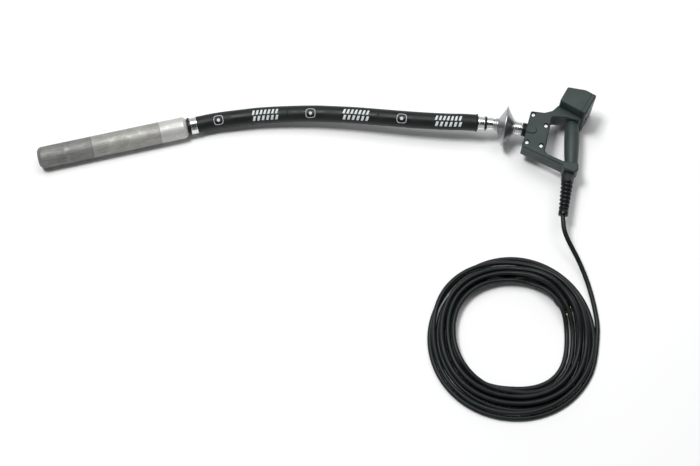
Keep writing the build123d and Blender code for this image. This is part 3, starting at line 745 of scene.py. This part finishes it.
relief_profile = [(21.2, 6.6), (21.2, 14.4), (21.8, 15.2), (24.6, 15.2), (25.4, 14.4)]
relief_profile += [(RIBS_FROM + RELIEF_STEP * i, CORE_R) for i in range(1, RELIEF_STEPS + 1)]
relief_profile += [
    (99.6, 8.7), (100.0, 12.0), (100.8, 12.8), (113.0, 12.8), (114.4, 12.2), (115.0, 10.8), (115.0, 6.2),
]
relief = turned("strain_relief_ribs", place(*RELIEF_AT), heading(RELIEF_TURN), relief_profile,
                "black_rubber", RELIEF_AROUND, relief_shape)
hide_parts("strain_relief")
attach(relief, "handle")

# ---------------------------------------------------------------- plug
plug_profile = [
    (-42, 6.1), (-42, 7.0), (-41.2, 7.4), (-36, 7.6), (-35.4, 6.7), (-33.6, 6.7), (-33, 7.9), (-29, 8.2),
    (-28.4, 7.3), (-26.6, 7.3), (-26, 8.7), (-22, 9.1), (-21.4, 8.2), (-19.6, 8.2), (-19, 9.6), (-12, 10.4),
    (-8, 11.2), (-4, 12.6), (-2, PLUG_R - 0.4), (0, PLUG_R), (29, PLUG_R), (31.5, PLUG_R - 0.6),
    (32.7, PLUG_R - 2), (33, PLUG_R - 3.5),
]
PLUG_AROUND = 84
PLUG_STEP = 1.5
FLUTES = 14
FLUTE_DEPTH = 0.5
FLUTES_FROM = 2.0
FLUTES_TO = 27.0
FLUTE_FADE = 4.0


def plug_shape(along, angle, radius):
    """Shallow grip flutes round the plug's body."""
    if not FLUTES_FROM < along < FLUTES_TO:
        return radius
    fade = min(1.0, (along - FLUTES_FROM) / FLUTE_FADE, (FLUTES_TO - along) / FLUTE_FADE)
    return radius - FLUTE_DEPTH * fade * (1 + math.cos(FLUTES * angle))


fine_profile = []
for (a, ra), (b, rb) in zip(plug_profile, plug_profile[1:]):
    steps = max(1, round(abs(b - a) / PLUG_STEP))
    fine_profile += [(a + (b - a) * k / steps, ra + (rb - ra) * k / steps) for k in range(steps)]
fine_profile.append(plug_profile[-1])
plug = turned("plug_shell", place(*PLUG_AT), heading(PLUG_TURN), fine_profile,
              "plug_rubber", PLUG_AROUND, plug_shape)
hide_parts("plug_body")
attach(plug, "handle")

# ---------------------------------------------------------------- materials of the CAD nodes
for entry in frame["record"]["subparts"]:
    for holder in nodes[entry["node"]].material_slots:
        holder.material = looks[entry["material_slot"]]

# ---------------------------------------------------------------- what the cord is
cord.data.materials.append(looks["cord_rubber"])
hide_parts("cord_tube", "cord_coil")
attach(cord, "handle")

# ---------------------------------------------------------------- floor and light
FLOOR_HALF = 9.0
FLOOR_DARK = (0.9, 0.9, 0.9)
FLOOR_LIGHT = (0.92, 0.92, 0.92)
ROOM_COLOUR = (0.58, 0.585, 0.59)
CARD_COLOUR = (0.05, 0.052, 0.055)
floor_mesh = bpy.data.meshes.new("floor")
corners = ((-1, -1), (1, -1), (1, 1), (-1, 1))
floor_mesh.from_pydata([(x * FLOOR_HALF, y * FLOOR_HALF, 0) for x, y in corners], [], [(0, 1, 2, 3)])
floor = bpy.data.objects.new("floor", floor_mesh)
bpy.context.collection.objects.link(floor)
floor_look = Look("floor", FLOOR_DARK, 0.9)
floor_look.colour(floor_look.mix(floor_look.noise(3.0), FLOOR_DARK, FLOOR_LIGHT))
floor_look.specular(0.0)
floor_mesh.materials.append(floor_look.material)

# Level directions as the camera sees them.
right = heading(VIEW_TURN)
away = heading(VIEW_TURN + 90)


def softbox(name, where, size, watts):
    """A white area light that faces the middle of the view."""
    light = bpy.data.lights.new(name, "AREA")
    light.shape = "RECTANGLE"
    light.size, light.size_y = size
    light.energy = watts
    obj = bpy.data.objects.new(name, light)
    obj.location = where
    obj.rotation_mode = "QUATERNION"
    obj.rotation_quaternion = (TARGET - Vector(where)).to_track_quat("-Z", "Y")
    bpy.context.collection.objects.link(obj)


softbox("key", TARGET - right * 2.3 + away * 0.9 + Vector((0, 0, 8.0)), size=(1.9, 1.9), watts=440)
softbox("top", TARGET + away * 1.3 + right * 0.2 + Vector((0, 0, 3.4)), size=(3.8, 1.6), watts=56)

world = bpy.data.worlds.new("studio")
bpy.context.scene.world = world
world.use_nodes = True
sky = world.node_tree
direction = sky.nodes.new("ShaderNodeTexCoord").outputs["Generated"]


def flag(towards, start, full):
    """How far a direction lies inside a dark card hung that way, from 0 to 1."""
    dot = sky.nodes.new("ShaderNodeVectorMath")
    dot.operation = "DOT_PRODUCT"
    sky.links.new(direction, dot.inputs[0])
    dot.inputs[1].default_value = Vector(towards).normalized()
    edge = sky.nodes.new("ShaderNodeMapRange")
    edge.interpolation_type = "SMOOTHSTEP"
    sky.links.new(dot.outputs["Value"], edge.inputs["Value"])
    edge.inputs["From Min"].default_value = start
    edge.inputs["From Max"].default_value = full
    return edge.outputs["Result"]


overhead = flag(back, start=0.80, full=0.92)
low_right = flag(right * 0.8 - away * 0.5 + Vector((0, 0, 0.45)), start=0.55, full=0.85)
low_left = flag(Vector((0, 0, 0.25)) - right * 0.95 - away * 0.1, start=0.45, full=0.8)
# A pale room, dark wherever one of the cards hangs.
cover = overhead
for card in (low_right, low_left):
    most = sky.nodes.new("ShaderNodeMath")
    most.operation = "MAXIMUM"
    sky.links.new(cover, most.inputs[0])
    sky.links.new(card, most.inputs[1])
    cover = most.outputs["Value"]
tint = sky.nodes.new("ShaderNodeMix")
tint.data_type = "RGBA"
sky.links.new(cover, tint.inputs["Factor"])
tint.inputs["A"].default_value = (*ROOM_COLOUR, 1)
tint.inputs["B"].default_value = (*CARD_COLOUR, 1)
sky.links.new(tint.outputs["Result"], sky.nodes["Background"].inputs["Color"])
bpy.context.scene.view_settings.view_transform = "Standard"
